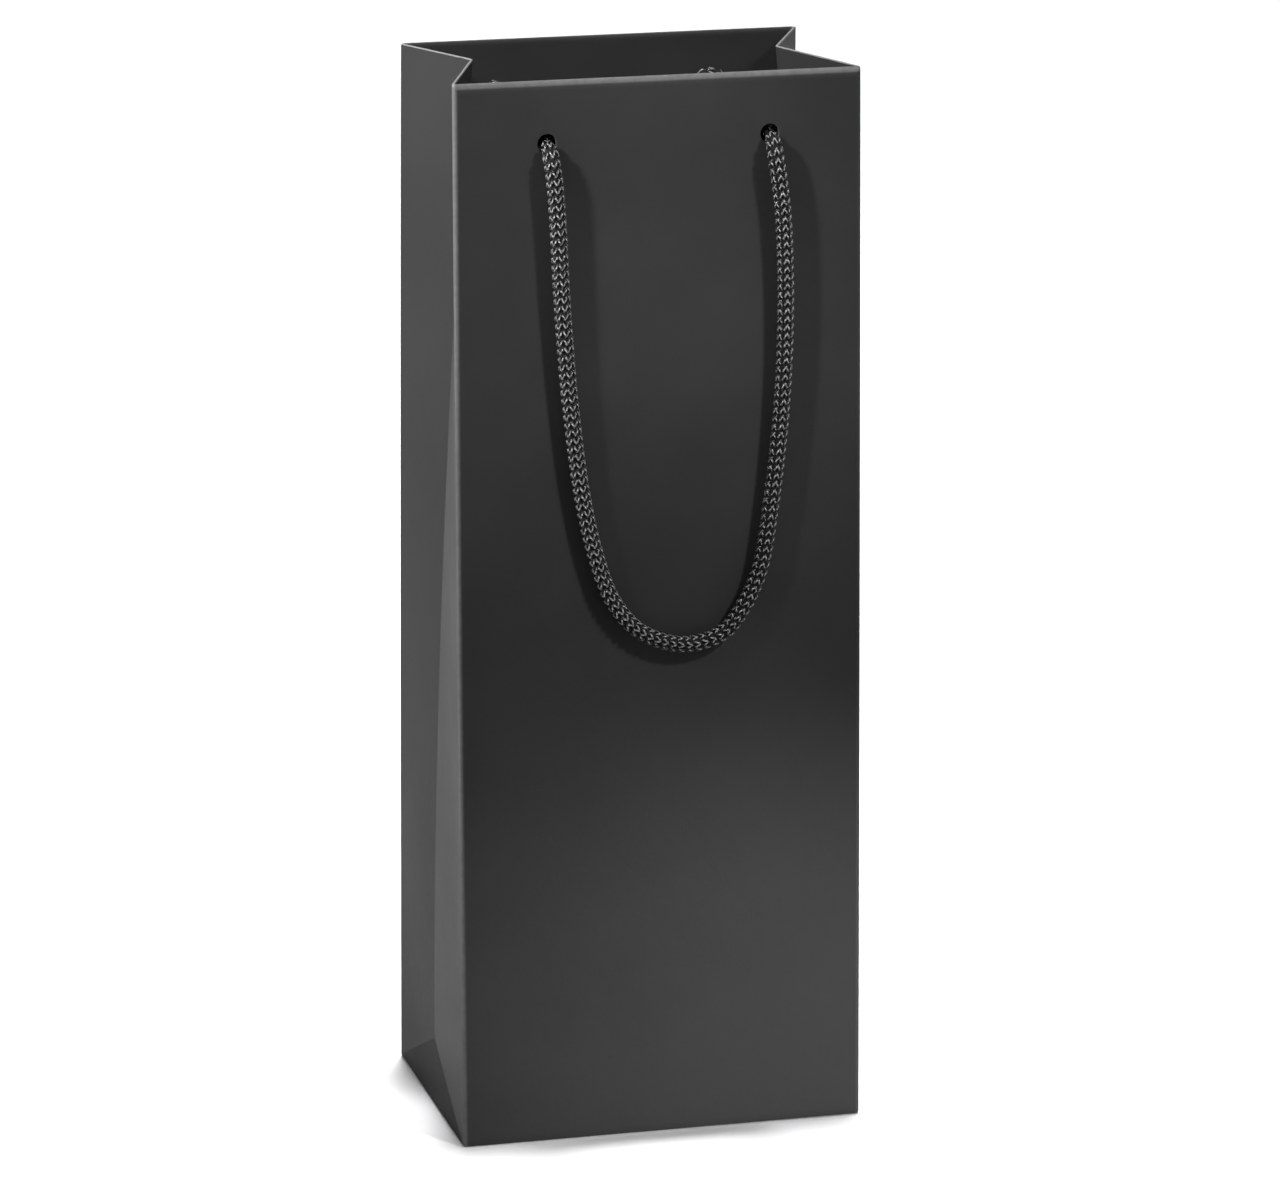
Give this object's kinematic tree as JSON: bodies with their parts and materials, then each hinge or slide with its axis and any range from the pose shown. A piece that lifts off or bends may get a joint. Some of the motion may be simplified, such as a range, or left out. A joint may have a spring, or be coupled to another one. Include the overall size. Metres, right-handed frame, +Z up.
{
  "type": "wine gift bag",
  "caption": "Tall gusseted paper carrier for one bottle, with a board-stiffened turned rim, a glued square base and knotted cord handles that swing.",
  "frame": {"origin": "on the ground under the centre of the base", "axes": "+Z up towards the mouth, +X across the front panel to its right-hand edge as seen from the front, -Y out of the front panel"},
  "size_m": [0.127, 0.095, 0.33],
  "materials": {
    "laminated_paper": "matt laminated dark grey",
    "board": "plain grey board",
    "knitted_cord": "knitted polypropylene yarn, satin"
  },
  "bodies": {
    "bag": {"front_panel": "laminated_paper", "back_panel": "laminated_paper", "left_gusset_front": "laminated_paper", "left_gusset_back": "laminated_paper", "right_gusset_front": "laminated_paper", "right_gusset_back": "laminated_paper", "left_gusset_base": "laminated_paper", "right_gusset_base": "laminated_paper", "front_hem": "laminated_paper", "back_hem": "laminated_paper", "left_hem_front": "laminated_paper", "left_hem_back": "laminated_paper", "right_hem_front": "laminated_paper", "right_hem_back": "laminated_paper", "side_seam_lap": "laminated_paper", "front_base_flap": "laminated_paper", "back_base_flap": "laminated_paper", "left_base_flap": "laminated_paper", "right_base_flap": "laminated_paper", "front_top_board": "board", "back_top_board": "board", "base_board": "board", "front_left_knot": "knitted_cord", "front_right_knot": "knitted_cord", "back_left_knot": "knitted_cord", "back_right_knot": "knitted_cord"},
    "front_handle": {"front_handle_cord": "knitted_cord"},
    "back_handle": {"back_handle_cord": "knitted_cord"}
  },
  "joints": [
    {"name": "front_handle_swing", "type": "hinge", "parent": "bag", "child": "front_handle", "pos_m": [0, -0.0423, 0.311], "axis": [-1, 0, 0], "range_deg": [0, 184]},
    {"name": "back_handle_swing", "type": "hinge", "parent": "bag", "child": "back_handle", "pos_m": [0, 0.0423, 0.311], "axis": [1, 0, 0], "range_deg": [0, 184]}
  ]
}
